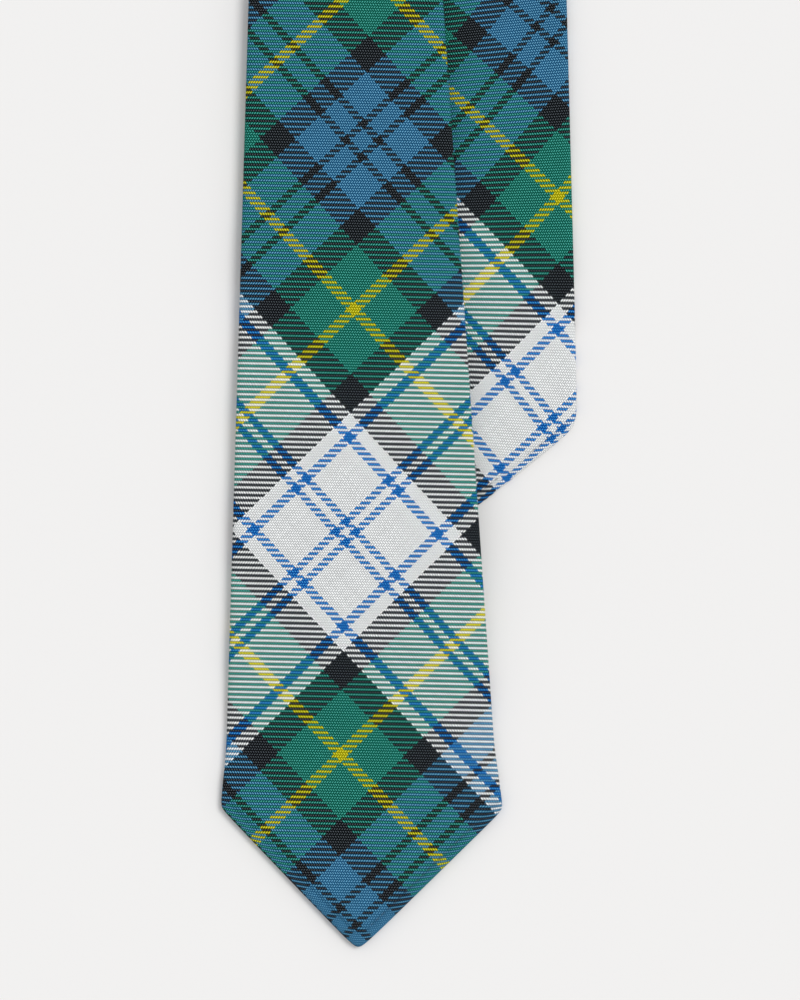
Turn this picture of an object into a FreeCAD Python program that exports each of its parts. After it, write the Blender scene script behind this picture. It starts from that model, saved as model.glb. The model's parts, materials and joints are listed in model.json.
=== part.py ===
"""A full-width bias-cut necktie, folded flat with mitred folds at the neck.

The tail lies on the surface, the short neck stretch is folded over on top of it, and the front blade is
folded back down over both, so that the blade and the tail point the same way, side by side and overlapping.
Each section is an envelope: a cloth shell whose two sides are turned to the back and meet at a slip-stitched
seam, round a canvas interlining, with a lining (tipping) that closes the point. Millimetres, +Z up.

Working frame: the blade's centre line is +Y with its point at Y = 0. A final shift puts the origin at the
middle of the bounding box, on the surface that the tie lies on.
"""

import math
import os

import FreeCAD
import Part

# Cloth
CLOTH = 0.5  # thickness of the twill shell
LINING = 0.4  # thickness of the tipping
THREAD = 0.2  # how far a stitch stands off the cloth
TIE_THICK = 3.2  # shell, interlining and flaps together
LAYER_GAP = 0.4  # free space between two folded layers
FOLD_GAP = 0.4  # how far the cut ends stop short of a fold's axis

# Front blade, from its point up to the first fold
BLADE_HALF = 41.0  # 82 mm across the shoulders
BLADE_POINT = 40.0  # height of the point
BLADE_SKEW = 1.2  # the left shoulder sits this much higher, and the right one this much lower
FLARE_END = 58.0  # the shoulders flare below this height
FLARE_HALF = 38.9
TAPER_END = 480.0
NECK_HALF = 18.0  # 36 mm all through the neck
FOLD_Y = 775.0  # centre of the first fold
POINT_SHIFT = -1.7  # the point sits a little to the left of the centre line
BLUNT = 1.5  # half width of the blunt end of each point

# Tail
TAIL_HALF = 31.0
TAIL_POINT = 24.6
TAIL_TIP = (33.1, 126.3)  # where the tail's point lies
TAIL_LEAN = 1.2  # degrees that the tail leans away from the blade
TAIL_TAPER_END = 500.0

# Seams that join the three cuts of cloth, at 45 degrees
BLADE_SEAM = 600.0  # from the blade's point
TAIL_SEAM = 400.0  # from the tail's point
NECK_SLIPS_END = 20.0  # the slip stitch stops this far before a fold

# Inside and back
HEM = 4.0  # width of shell turned to the back along the point
SLIT = 1.0  # gap where the two flaps meet, filled by the slip stitch
LINING_REACH = 30.0  # how far the tipping runs up under the flaps
SIDE_ROOM = 0.3  # between interlining and shell at the sides
EDGE_STITCH_IN = 2.6  # from the edge of the point to the row of stitches
FAR = 2000.0  # longer than anything
BEYOND_FOLD = 900.0  # sections are drawn this long and then trimmed at their folds

# Heights of the layers. The tail is lowest, the neck lies on it and the blade on both.
TAIL_Z = 0.0
NECK_Z = TAIL_Z + TIE_THICK + LAYER_GAP
BLADE_TOP_Z = NECK_Z + TIE_THICK + LAYER_GAP  # the blade's back where it is folded over the neck
BLADE_OVER_TAIL_Z = 5.2  # the blade's back where it lies over the tail, with the keeper between
RAMP = ((60.0, 0.0), (124.0, BLADE_OVER_TAIL_Z), (690.0, BLADE_OVER_TAIL_Z), (728.0, BLADE_TOP_Z))

# Keeper loop and label, on the blade's back
KEEPER_Y = 165.0
KEEPER_TALL = 14.0
KEEPER_HALF = 33.0
KEEPER_FOOT = 1.8
KEEPER_STANDS = 0.7  # free height inside the loop
LABEL_Y = 206.0
LABEL_HALF = (27.0, 15.0)
LABEL_THICK = 0.3

lean = math.radians(TAIL_LEAN)
TAIL_UP = (math.sin(lean), math.cos(lean))
TAIL_RIGHT = (math.cos(lean), -math.sin(lean))
NECK_SPAN = TAIL_TIP[0] + (FOLD_Y - TAIL_TIP[1]) * math.tan(lean)  # between the two folds' centres
TAIL_LONG = (FOLD_Y - TAIL_TIP[1]) / math.cos(lean)
CORNER_X = TAIL_TIP[0] + TAIL_POINT * TAIL_UP[0] + TAIL_HALF * TAIL_RIGHT[0]  # the right-hand side
MIDDLE = FreeCAD.Vector((CORNER_X - BLADE_HALF) / 2, (FOLD_Y + NECK_HALF) / 2, 0)


def prism(points, low, high):
    """A flat-ended solid on a polygon, between two heights."""
    corners = [FreeCAD.Vector(x, y, low) for x, y in points]
    face = Part.Face(Part.makePolygon(corners + corners[:1]))
    return face.extrude(FreeCAD.Vector(0, 0, high - low))


def box(x0, x1, y0, y1, z0, z1):
    return Part.makeBox(x1 - x0, y1 - y0, z1 - z0, FreeCAD.Vector(x0, y0, z0))


def blade_band(low, high):
    """The space between two heights above the blade's back, following its run down to the surface."""
    line = [(-50.0, RAMP[0][1]), *RAMP, (FAR / 2, RAMP[-1][1])]
    under = [FreeCAD.Vector(-FAR / 2, y, z + low) for y, z in line]
    over = [FreeCAD.Vector(-FAR / 2, y, z + high) for y, z in reversed(line)]
    face = Part.Face(Part.makePolygon(under + over + under[:1]))
    return face.extrude(FreeCAD.Vector(FAR, 0, 0))


def flat_band(base):
    """The same for a section that lies flat at one height."""
    return lambda low, high: box(-FAR / 2, FAR / 2, -FAR / 2, FAR / 2, base + low, base + high)


def within(points, band, low, high):
    """A polygon's prism, kept to one band of a section's thickness."""
    return prism(points, -FAR / 4, FAR / 4).common(band(low, high))


def point_corners(half, point, inset, shift, skew):
    """The corners of a point, from its left shoulder round its blunt end to its right shoulder."""
    drop = inset / math.cos(math.atan2(point, half))
    rise = point + drop - inset * point / half
    end = [(shift - BLUNT, drop), (shift + BLUNT, drop)]
    return [(inset - half, rise + skew), *end, (half - inset, rise - skew)]


def section_outline(corners, stations, inset):
    """A point and the two sides above it. The top is left square and is trimmed at the fold."""
    right = [(x - inset, y) for x, y in stations] + [(stations[-1][0] - inset, BEYOND_FOLD)]
    left = [(-x, y) for x, y in reversed(right)]
    return corners + right + left


def blade_corners(inset=0.0):
    return point_corners(BLADE_HALF, BLADE_POINT, inset, POINT_SHIFT, BLADE_SKEW)


def tail_corners(inset=0.0):
    return point_corners(TAIL_HALF, TAIL_POINT, inset, 0.0, 0.0)


def blade_outline(inset=0.0):
    return section_outline(blade_corners(inset), [(FLARE_HALF, FLARE_END), (NECK_HALF, TAPER_END)], inset)


def tail_outline(inset=0.0):
    return section_outline(tail_corners(inset), [(NECK_HALF, TAIL_TAPER_END)], inset)


def window(half, point):
    """The opening in the back of the point, between the hem and the two slanting flap edges."""
    low = HEM / math.cos(math.atan2(point, half))
    side = half - 2.2 * HEM
    apex = point + half * 0.95
    return [(0, low), (side, point - 1.0), (0, apex), (-side, point - 1.0)], apex


def half_plane(at, along, side):
    """Everything on one side of a line, as a big prism: side +1 is left of the line's direction."""
    size = math.hypot(*along)
    ux, uy = along[0] / size, along[1] / size
    nx, ny = -uy * side, ux * side
    near = [(at[0] - ux * FAR, at[1] - uy * FAR), (at[0] + ux * FAR, at[1] + uy * FAR)]
    away = [(near[1][0] + nx * FAR, near[1][1] + ny * FAR), (near[0][0] + nx * FAR, near[0][1] + ny * FAR)]
    return prism(near + away, -FAR / 2, FAR / 2)


def shell(outline, inner, band, openings):
    """The folded cloth of one section: front, rolled sides and the two flaps, open where it is cut."""
    cloth = within(outline, band, 0, TIE_THICK)
    cloth = cloth.cut(within(inner, band, CLOTH, TIE_THICK - CLOTH))
    for hole in openings:
        cloth = cloth.cut(within(hole, band, -1, CLOTH + 0.01))
    return cloth


def row_of_slips(start, stop, band, along_x=False):
    """The slip stitch that closes the back seam: one long visible stitch after another, in the slit."""
    pitch, stitch = 12.0, 7.0
    count = int((stop - start - stitch) // pitch) + 1
    made = []
    for i in range(count):
        a = start + i * pitch
        rim = [(-SLIT / 2, a), (SLIT / 2, a), (SLIT / 2, a + stitch), (-SLIT / 2, a + stitch)]
        if along_x:
            rim = [(y, x) for x, y in rim]
        made.append(within(rim, band, 0.1, 0.1 + THREAD))
    return Part.makeCompound([s for m in made for s in m.Solids])


def stitch_row(start, stop, band, low, pitch=3.0, stitch=2.1, width=0.5):
    """Stitches lying end to end along a straight line between two points."""
    dx, dy = stop[0] - start[0], stop[1] - start[1]
    long = math.hypot(dx, dy)
    ux, uy = dx / long, dy / long
    count = int(long // pitch)
    first = (long - (count - 1) * pitch - stitch) / 2
    made = []
    for i in range(count):
        a = first + i * pitch
        px, py = start[0] + ux * a, start[1] + uy * a
        qx, qy = px + ux * stitch, py + uy * stitch
        wx, wy = -uy * width / 2, ux * width / 2
        rim = [(px + wx, py + wy), (px - wx, py - wy), (qx - wx, qy - wy), (qx + wx, qy + wy)]
        made += within(rim, band, low, low + THREAD).Solids
    return made


def point_stitches(corners, band):
    """The dark row sewn just inside both edges of a point, through hem and tipping."""
    left, left_end, right_end, right = corners
    rows = stitch_row(right_end, right, band, TIE_THICK) + stitch_row(left_end, left, band, TIE_THICK)
    return Part.makeCompound(rows)


def seam_stitches(y, band):
    """The row inside a 45 degree seam between two cuts of cloth."""
    reach = NECK_HALF - 2
    low = TIE_THICK - CLOTH - THREAD
    return Part.makeCompound(stitch_row((-reach, y - reach), (reach, y + reach), band, low))


def tack_rim(y):
    """The bar tack that ends the slip stitch, just above the flaps' meeting point."""
    return [(-4.0, y + 1.0), (4.0, y + 1.0), (4.0, y + 2.6), (-4.0, y + 2.6)]


FOLD_1 = ((0.0, FOLD_Y), (1.0, 1.0))  # the blade's fold, between blade and neck
FOLD_2 = ((NECK_SPAN, FOLD_Y), (1.0 - TAIL_UP[0], -TAIL_UP[1]))  # the neck's fold, between neck and tail


def clear_of(fold, side):
    """The half plane on the folded side of a fold's axis, less the gap that lets it swing."""
    (x, y), (ux, uy) = fold
    size = math.hypot(ux, uy)
    nx, ny = -uy / size * side, ux / size * side
    return half_plane((x + nx * FOLD_GAP, y + ny * FOLD_GAP), (ux, uy), side)


def blade_parts():
    """Everything that swings with the front blade."""
    band = blade_band
    opening, apex = window(BLADE_HALF, BLADE_POINT)
    slit = [(-SLIT / 2, apex - 3), (SLIT / 2, apex - 3), (SLIT / 2, BEYOND_FOLD), (-SLIT / 2, BEYOND_FOLD)]
    whole = shell(blade_outline(), blade_outline(CLOTH), band, [opening, slit])
    whole = whole.common(clear_of(FOLD_1, -1))
    tack = within(tack_rim(apex), band, 0, 0.3)
    seam = ((0.0, BLADE_SEAM), (1.0, 1.0))
    below, above = half_plane(*seam, -1), half_plane(*seam, 1)
    canvas = within(blade_outline(CLOTH + SIDE_ROOM), band, CLOTH + LINING, TIE_THICK - CLOTH - THREAD)
    lining = within(blade_outline(CLOTH), band, CLOTH, CLOTH + LINING)
    lining = lining.common(box(-FAR / 4, FAR / 4, -50, apex + LINING_REACH, -50, 50))
    wide, tall = LABEL_HALF
    rim = [(-wide, LABEL_Y - tall), (wide, LABEL_Y - tall), (wide, LABEL_Y + tall), (-wide, LABEL_Y + tall)]
    sewn = label_side(-1, band) + label_side(1, band)
    return {
        "blade_shell": whole.common(below).cut(tack),
        "gusset_blade_side": whole.common(above),
        "blade_interlining": canvas.common(clear_of(FOLD_1, -1)),
        "blade_tipping": lining,
        "blade_edge_stitches": point_stitches(blade_corners(EDGE_STITCH_IN), band),
        "blade_bar_tack": tack,
        "blade_slip_stitches": row_of_slips(apex + 6, FOLD_Y - NECK_SLIPS_END, band),
        "blade_seam_stitches": seam_stitches(BLADE_SEAM, band),
        "back_label": within(rim, band, -LABEL_THICK, 0),
        "back_label_stitches": Part.makeCompound(sewn),
        **keeper(band),
    }


def label_side(side, band):
    """Stitches along one short end of the label."""
    x = side * (LABEL_HALF[0] - 1.2)
    reach = LABEL_HALF[1] - 1.0
    return stitch_row((x, LABEL_Y - reach), (x, LABEL_Y + reach), band, -LABEL_THICK - THREAD)


def keeper(band):
    """The cloth band across the blade's back that holds the tail, with its turned ends and their stitches."""
    low, high = KEEPER_Y - KEEPER_TALL / 2, KEEPER_Y + KEEPER_TALL / 2
    thick = 0.7

    def strip(x0, x1, z0, z1):
        return within([(x0, low), (x1, low), (x1, high), (x0, high)], band, z0, z1)

    inner = KEEPER_HALF - KEEPER_FOOT
    ends = [strip(a, b, -KEEPER_STANDS, 0) for a, b in ((-KEEPER_HALF, -inner), (inner, KEEPER_HALF))]
    rows = []
    for side in (-1, 1):
        x = side * (KEEPER_HALF - KEEPER_FOOT / 2)
        rows += stitch_row((x, low + 1), (x, high - 1), band, -KEEPER_STANDS - thick - THREAD)
    return {
        "keeper_loop": strip(-KEEPER_HALF, KEEPER_HALF, -KEEPER_STANDS - thick, -KEEPER_STANDS),
        "keeper_loop_ends": Part.makeCompound([s for e in ends for s in e.Solids]),
        "keeper_loop_stitches": Part.makeCompound(rows),
    }


def neck_parts():
    """The short stretch between the two folds, lying back side up across the tail."""
    # A flat band turned over: its flaps are on top, so heights are measured down from its upper face.
    def band(low, high):
        top = NECK_Z + TIE_THICK
        return box(-FAR / 2, FAR / 2, -FAR / 2, FAR / 2, top - high, top - low)

    def strip(half):
        low, high = FOLD_Y - half, FOLD_Y + half
        return [(-FAR / 8, low), (FAR / 8, low), (FAR / 8, high), (-FAR / 8, high)]

    between = clear_of(FOLD_1, -1).common(clear_of(FOLD_2, -1))
    cloth = shell(strip(NECK_HALF), strip(NECK_HALF - CLOTH), band, [strip(SLIT / 2)])
    canvas = within(strip(NECK_HALF - CLOTH - SIDE_ROOM), band, CLOTH + LINING, TIE_THICK - CLOTH - THREAD)
    slips = row_of_slips(4, NECK_SPAN - 2, band, along_x=True)
    slips.translate(FreeCAD.Vector(0, FOLD_Y, 0))
    return {
        "gusset_middle": cloth.common(between),
        "neck_interlining": canvas.common(between),
        "neck_slip_stitches": slips,
    }


def tail_parts():
    """The narrow end, lying on the surface. It is drawn upright from its own point and then leaned over."""
    band = flat_band(TAIL_Z)
    opening, apex = window(TAIL_HALF, TAIL_POINT)
    slit = [(-SLIT / 2, apex - 3), (SLIT / 2, apex - 3), (SLIT / 2, BEYOND_FOLD), (-SLIT / 2, BEYOND_FOLD)]
    whole = shell(tail_outline(), tail_outline(CLOTH), band, [opening, slit])
    tack = within(tack_rim(apex), band, 0, 0.3)
    seam = ((0.0, TAIL_SEAM), (1.0, 1.0))
    canvas = within(tail_outline(CLOTH + SIDE_ROOM), band, CLOTH + LINING, TIE_THICK - CLOTH - THREAD)
    lining = within(tail_outline(CLOTH), band, CLOTH, CLOTH + LINING)
    lining = lining.common(box(-FAR / 4, FAR / 4, -50, apex + LINING_REACH, -50, 50))
    drawn = {
        "tail_shell": whole.common(half_plane(*seam, -1)).cut(tack),
        "gusset_tail_side": whole.common(half_plane(*seam, 1)),
        "tail_interlining": canvas,
        "tail_tipping": lining,
        "tail_edge_stitches": point_stitches(tail_corners(EDGE_STITCH_IN), band),
        "tail_bar_tack": tack,
        "tail_slip_stitches": row_of_slips(apex + 6, TAIL_LONG - NECK_SLIPS_END, band),
        "tail_seam_stitches": seam_stitches(TAIL_SEAM, band),
    }
    placed = {}
    for name, shape in drawn.items():
        shape = shape.copy()
        shape.rotate(FreeCAD.Vector(0, 0, 0), FreeCAD.Vector(0, 0, 1), -TAIL_LEAN)
        shape.translate(FreeCAD.Vector(TAIL_TIP[0], TAIL_TIP[1], 0))
        placed[name] = shape
    for name in ("gusset_tail_side", "tail_interlining"):
        placed[name] = placed[name].common(clear_of(FOLD_2, -1))
    return placed


def main():
    os.makedirs("parts", exist_ok=True)
    nodes = {**tail_parts(), **neck_parts(), **blade_parts()}
    for name, shape in nodes.items():
        solids = [s.removeSplitter() for s in shape.Solids]
        whole = solids[0] if len(solids) == 1 else Part.makeCompound(solids)
        whole.translate(-MIDDLE)
        whole.exportStep(os.path.join("parts", name + ".step"))
        b = whole.BoundBox
        ok = all(s.isValid() for s in solids)
        spans = (b.XMin, b.XMax, b.YMin, b.YMax, b.ZMin, b.ZMax)
        print(f"{name:24s} {len(solids):3d} solids valid={ok} volume={whole.Volume:9.1f} "
              + " ".join(f"{v:8.2f}" for v in spans))
    for name, fold in (("blade_fold", FOLD_1), ("neck_fold", FOLD_2)):
        (x, y), (ux, uy) = fold
        size = math.hypot(ux, uy)
        at = FreeCAD.Vector(x, y, NECK_Z + TIE_THICK / 2) - MIDDLE
        print(f"{name}: axis through {at.x:.3f} {at.y:.3f} {at.z:.3f}, along {-ux / size:.6f} {-uy / size:.6f} 0")


main()
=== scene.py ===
"""A tartan necktie folded flat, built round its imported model.

Each section of the tie is drawn in its own plan, x across and y along from its point. Every piece of it is
placed through the same three functions: the depth of a place inside the outline, the height in the section's
thickness, and the way from the section to the row frame. The cloth carries its own thread numbers as a UV
map, so the weave follows each fold to the back. Lengths are millimetres until a mesh is made.
"""

import json
import math
from collections import namedtuple

import bpy
import numpy as np
from mathutils import Matrix, Vector


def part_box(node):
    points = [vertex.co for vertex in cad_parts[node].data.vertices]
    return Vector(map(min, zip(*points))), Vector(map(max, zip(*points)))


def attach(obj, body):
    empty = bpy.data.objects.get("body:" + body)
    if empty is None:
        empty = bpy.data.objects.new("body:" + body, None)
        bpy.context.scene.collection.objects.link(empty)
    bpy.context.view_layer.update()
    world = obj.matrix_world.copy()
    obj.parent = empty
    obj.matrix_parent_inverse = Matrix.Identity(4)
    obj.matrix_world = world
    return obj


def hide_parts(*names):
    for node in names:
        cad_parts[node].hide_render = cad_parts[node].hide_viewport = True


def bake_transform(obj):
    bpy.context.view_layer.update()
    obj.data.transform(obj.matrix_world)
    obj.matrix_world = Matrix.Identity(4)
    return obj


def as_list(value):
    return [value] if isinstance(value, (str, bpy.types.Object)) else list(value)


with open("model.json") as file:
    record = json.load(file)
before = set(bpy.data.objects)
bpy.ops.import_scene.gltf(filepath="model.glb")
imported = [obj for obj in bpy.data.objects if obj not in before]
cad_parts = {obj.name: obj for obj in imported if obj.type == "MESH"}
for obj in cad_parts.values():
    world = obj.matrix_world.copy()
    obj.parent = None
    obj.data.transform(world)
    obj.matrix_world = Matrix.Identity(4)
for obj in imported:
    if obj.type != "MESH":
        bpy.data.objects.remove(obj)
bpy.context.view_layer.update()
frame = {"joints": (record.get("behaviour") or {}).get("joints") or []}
joints = {joint["name"]: joint for joint in frame["joints"]}

MM = 0.001

# The same sizes as the model's, but for the tail, which is 0.4 mm wider on each side
THICK = 3.2  # a whole section, cloth, canvas and flaps
GAP = 0.4  # between folded layers
BLADE_HALF, NECK_HALF, TAIL_HALF = 41.0, 18.0, 31.4
TAIL_LEAN = math.radians(1.2)
TAIL_LONG = 648.84  # from the tail's point to the middle of its fold
NECK_Z = THICK + GAP
BLADE_Z = 2 * NECK_Z
OVER_TAIL_Z = 5.2
BLADE_SEAM, TAIL_SEAM = 600.0, 400.0

# The cloth
CLOTH = 0.45
ROLL = 2.0  # width of the rounded side of a section
HEM = 4.0
GROOVE_AT, GROOVE_DEEP, GROOVE_WIDE = 2.8, 0.85, 0.38
HEM_PACKED = 0.35  # the hem outside the groove holds this much more cloth than its width
SEAM_DEEP, SEAM_WIDE = 0.5, 0.7
SLIT = 0.3  # half the gap between the flaps
SIDE_BEND = 16.0  # the turn where a side changes its taper is spread over this length each way

blade_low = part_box("blade_shell")[0]
ORIGIN = np.array([blade_low.x / MM + BLADE_HALF, blade_low.y / MM, 0.0])
FOLD_1 = np.array(joints["blade_fold"]["pos_m"]) / MM - ORIGIN
FOLD_2 = np.array(joints["neck_fold"]["pos_m"]) / MM - ORIGIN
NECK_SPAN = FOLD_2[0] - FOLD_1[0]
TAIL_UP = np.array([math.sin(TAIL_LEAN), math.cos(TAIL_LEAN)])
TAIL_RIGHT = np.array([math.cos(TAIL_LEAN), -math.sin(TAIL_LEAN)])
TAIL_TIP = FOLD_2[:2] - TAIL_UP * TAIL_LONG


# ---------------------------------------------------------------- plan and thickness

def soft_min(a, b, width):
    return 0.5 * (a + b - np.sqrt((a - b) ** 2 + width ** 2))


def smooth(low, high, value):
    t = np.clip((value - low) / (high - low), 0, 1)
    return t * t * (3 - 2 * t)


def left_of(a, b, x, y):
    """How far (x, y) lies to the left of the line from a to b."""
    dx, dy = b[0] - a[0], b[1] - a[1]
    return (dx * (y - a[1]) - dy * (x - a[0])) / math.hypot(dx, dy)


class Section:
    """One flat stretch of the tie: its outline, how its rows slant, where it lies and how it was cut."""

    def __init__(self, sides, slants, place, cut, corners=None, round_=1.0):
        self.side_y, self.side_half = zip(*sides)
        self.slant_y, self.slant = zip(*slants)
        self.place = place
        self.cut = cut
        self.corners = corners
        self.round = round_

    def half(self, y):
        return np.interp(y, self.side_y, self.side_half)

    def row(self, t, x):
        """The y of row t at x: rows near a 45 degree seam or fold lie along it."""
        return t + x * np.interp(t, self.slant_y, self.slant)

    def side_depth(self, x, y):
        return self.half(y) - np.abs(x)

    def tip_depth(self, x, y):
        if self.corners is None:
            return np.full(np.shape(x + y), 1e3)
        left, tip, right = self.corners
        return soft_min(left_of(left, tip, x, y), left_of(tip, right, x, y), 2.1)

    def depth(self, x, y):
        """How far inside the outline a place is."""
        if self.corners is None:
            return self.side_depth(x, y)
        return soft_min(self.tip_depth(x, y), self.side_depth(x, y), self.round)


QUARTER = np.linspace(0, 1, 60)
_roll_x = ROLL * (1 - np.cos(QUARTER * math.pi / 2))  # depth from the edge
_roll_z = THICK / 2 * np.sin(QUARTER * math.pi / 2)
ROLL_ARC = np.concatenate([[0], np.cumsum(np.hypot(np.diff(_roll_x), np.diff(_roll_z)))])
ROLL_LONG = ROLL_ARC[-1]


def rise(depth):
    """The rounded side of a section, from 0 at the edge to 1 where it is flat."""
    return np.sqrt(np.clip(1 - (1 - np.clip(depth / ROLL, 0, 1)) ** 2, 0, 1))


def along_roll(depth):
    """Cloth between the edge and a place, measured over the rounded side."""
    return np.interp(depth, _roll_x, ROLL_ARC) + np.maximum(depth - ROLL, 0)


def slope_of(function, x, y, step=0.05, reach=0.05):
    """The direction in which a function grows. A long reach along y smooths out a bend in the side."""
    gx = (function(x + step, y) - function(x - step, y)) / (2 * step)
    gy = (function(x, y + reach) - function(x, y - reach)) / (2 * reach)
    size = np.maximum(np.hypot(gx, gy), 1e-6)
    return gx / size, gy / size


def seam_dip(section, x, y):
    """The shallow valley over a seam between two cuts of cloth."""
    dip = np.zeros(np.shape(x + y))
    for at in section.seams:
        dip = dip + SEAM_DEEP * np.exp(-(((y - x - at) / 1.414 / SEAM_WIDE) ** 2))
    return dip


def front_height(section, x, y):
    depth = section.depth(x, y)
    tip = section.tip_depth(x, y)
    height = THICK / 2 * (1 + rise(depth))
    band = smooth(GROOVE_AT + 2.2, GROOVE_AT - 0.4, tip) * rise(depth)
    groove = np.exp(-(((tip - GROOVE_AT) / GROOVE_WIDE) ** 2)) * smooth(0.2, 2.0, depth)
    return height - 0.35 * band - GROOVE_DEEP * groove - seam_dip(section, x, y)


def back_height(section, x, y):
    return THICK / 2 * (1 - rise(section.depth(x, y))) + seam_dip(section, x, y)


# ---------------------------------------------------------------- where the sections lie

def ripple(x, y):
    """The cloth is never quite flat."""
    return 0.14 * np.sin((y + 0.45 * x) / 9.3) + 0.10 * np.sin((y - 0.8 * x) / 5.9 + 1.3)


def blade_lift(x, y):
    """The blade's back: on the surface at its point, over the tail on the right, sagging to the left, and up
    on the neck at the fold."""
    run = OVER_TAIL_Z * smooth(52, 128, y)
    sag = 0.36 + 0.64 * smooth(-40, 8, x)
    sag = sag + (1 - sag) * smooth(520, 700, y)
    ends = smooth(20, 90, y) * (1 - smooth(560, 680, y))
    return run * sag + (BLADE_Z - OVER_TAIL_Z) * smooth(690, 728, y) + (ripple(x, y) + 0.24) * ends


def place_blade(x, y, h):
    return np.stack(np.broadcast_arrays(x, y, blade_lift(x, y) + h), -1)


def place_tail(x, y, h):
    plan_x = TAIL_TIP[0] + x * TAIL_RIGHT[0] + y * TAIL_UP[0]
    plan_y = TAIL_TIP[1] + x * TAIL_RIGHT[1] + y * TAIL_UP[1]
    return np.stack(np.broadcast_arrays(plan_x, plan_y, h), -1)


def place_neck(x, y, h):
    """The neck lies back side up across the tail. Its x is towards the far end of the fold, its y along X."""
    return np.stack(np.broadcast_arrays(FOLD_1[0] + y, FOLD_1[1] + x, NECK_Z + THICK - h), -1)


# ---------------------------------------------------------------- how the cloth was cut

# Thread number = start + across x + along y + fan x y / 100 + bow y y / 100. Beyond the limit fan stays as it
# is there and bow goes on as a straight line. Each cut has its warp and its weft.
Grain = namedtuple("Grain", "start across along fan bow limit")

# These two cuts are not drawn by hand: they are rounded from a least-squares fit to a photograph's stripes.
BLADE_CUT = (Grain(start=169.6, across=1.31, along=-1.354, fan=0.0, bow=-0.0183, limit=300.0),
             Grain(start=150.2, across=-1.423, along=-1.296, fan=0.0, bow=0.0128, limit=300.0))
TAIL_CUT = (Grain(start=1.9, across=1.239, along=-1.416, fan=0.232, bow=0.0439, limit=150.0),
            Grain(start=64.0, across=-1.523, along=-1.182, fan=0.186, bow=-0.0993, limit=150.0))

GUSSET_CUT = (Grain(start=71.0, across=1.36, along=-1.36, fan=0.0, bow=0.0, limit=1.0),
              Grain(start=118.0, across=-1.36, along=-1.36, fan=0.0, bow=0.0, limit=1.0))
BEND = math.pi * (THICK + GAP / 2) / math.sqrt(2)  # cloth that a fold takes up, along and across


def threads(cut, x, y):
    """Warp and weft thread numbers at a place on the flat cloth."""
    numbers = []
    for start, across, along, fan, bow, limit in cut:
        near = np.minimum(y, limit)
        bowed = near ** 2 + 2 * limit * (y - near)
        numbers.append(start + across * x + along * y + fan * x * near / 100 + bow * bowed / 100)
    return np.stack(np.broadcast_arrays(*numbers), -1)


def blade_threads(x, y):
    return threads(BLADE_CUT, x, y)


def tail_threads(x, y):
    return threads(TAIL_CUT, x, y)


def gusset_on_blade(x, y):
    return threads(GUSSET_CUT, x, y)


def gusset_on_neck(x, y):
    return threads(GUSSET_CUT, x - BEND, FOLD_1[1] + y + BEND)


def gusset_on_tail(x, y):
    return threads(GUSSET_CUT, -x, FOLD_1[1] + NECK_SPAN + 2 * BEND + TAIL_LONG - y)


BLADE_CORNERS = ((-BLADE_HALF, 41.2), (-1.75, -1.5), (BLADE_HALF, 38.8))
TAIL_CORNERS = ((-TAIL_HALF, 24.0), (0.0, -1.2), (TAIL_HALF, 24.0))
BLADE_SIDES = ((0, 44.0), (41, BLADE_HALF), (58, 38.9), (480, NECK_HALF), (900, NECK_HALF))
TAIL_SIDES = ((0, 32.2), (24.6, TAIL_HALF), (500, NECK_HALF), (900, NECK_HALF))
BLADE_SLANTS = ((0, 0), (500, 0), (590, 1), (900, 1))
FOLD_2_TURN = math.radians(45) - TAIL_LEAN / 2  # the second fold halves the corner between neck and tail
FOLD_2_SLANT = -math.tan(FOLD_2_TURN)
TAIL_SLANTS = ((0, 0), (320, 0), (392, 1), (408, 1), (620, FOLD_2_SLANT), (900, FOLD_2_SLANT))

blade = Section(BLADE_SIDES, BLADE_SLANTS, place_blade, blade_threads, BLADE_CORNERS)
blade_gusset = Section(BLADE_SIDES, BLADE_SLANTS, place_blade, gusset_on_blade)
tail = Section(TAIL_SIDES, TAIL_SLANTS, place_tail, tail_threads, TAIL_CORNERS, 2.4)
tail_gusset = Section(TAIL_SIDES, TAIL_SLANTS, place_tail, gusset_on_tail)
neck = Section(((-100, NECK_HALF), (100, NECK_HALF)), ((0, 1), (NECK_SPAN, FOLD_2_SLANT)), place_neck,
               gusset_on_neck)
blade.seams = blade_gusset.seams = (BLADE_SEAM,)
tail.seams = tail_gusset.seams = (TAIL_SEAM,)
neck.seams = ()


# ---------------------------------------------------------------- meshes

def grid_faces(rows, columns, flip):
    i, j = np.meshgrid(np.arange(rows - 1), np.arange(columns - 1), indexing="ij")
    a = (i * columns + j).ravel()
    faces = np.stack([a, a + 1, a + columns + 1, a + columns], 1)
    return faces[:, ::-1] if flip else faces


def mesh_object(name, grids, material, thickness=0.0):
    """One object from grids of (points in mm, thread numbers or None, flip)."""
    points, uvs, faces, count = [], [], [], 0
    for grid, numbers, flip in grids:
        rows, columns = grid.shape[:2]
        points.append(grid.reshape(-1, 3))
        uvs.append(np.zeros((rows * columns, 2)) if numbers is None else numbers.reshape(-1, 2))
        faces.append(grid_faces(rows, columns, flip) + count)
        count += rows * columns
    points = (np.concatenate(points) + ORIGIN) * MM
    faces, uvs = np.concatenate(faces), np.concatenate(uvs)
    mesh = bpy.data.meshes.new(name)
    mesh.from_pydata(points.tolist(), [], faces.tolist())
    layer = mesh.uv_layers.new(name="threads")
    layer.data.foreach_set("uv", uvs[faces.ravel()].astype(np.float32).ravel())
    mesh.polygons.foreach_set("use_smooth", np.ones(len(faces), bool))
    mesh.materials.append(material)
    obj = bpy.data.objects.new(name, mesh)
    bpy.context.scene.collection.objects.link(obj)
    if thickness:
        thicken(obj, thickness)
    return obj


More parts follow.
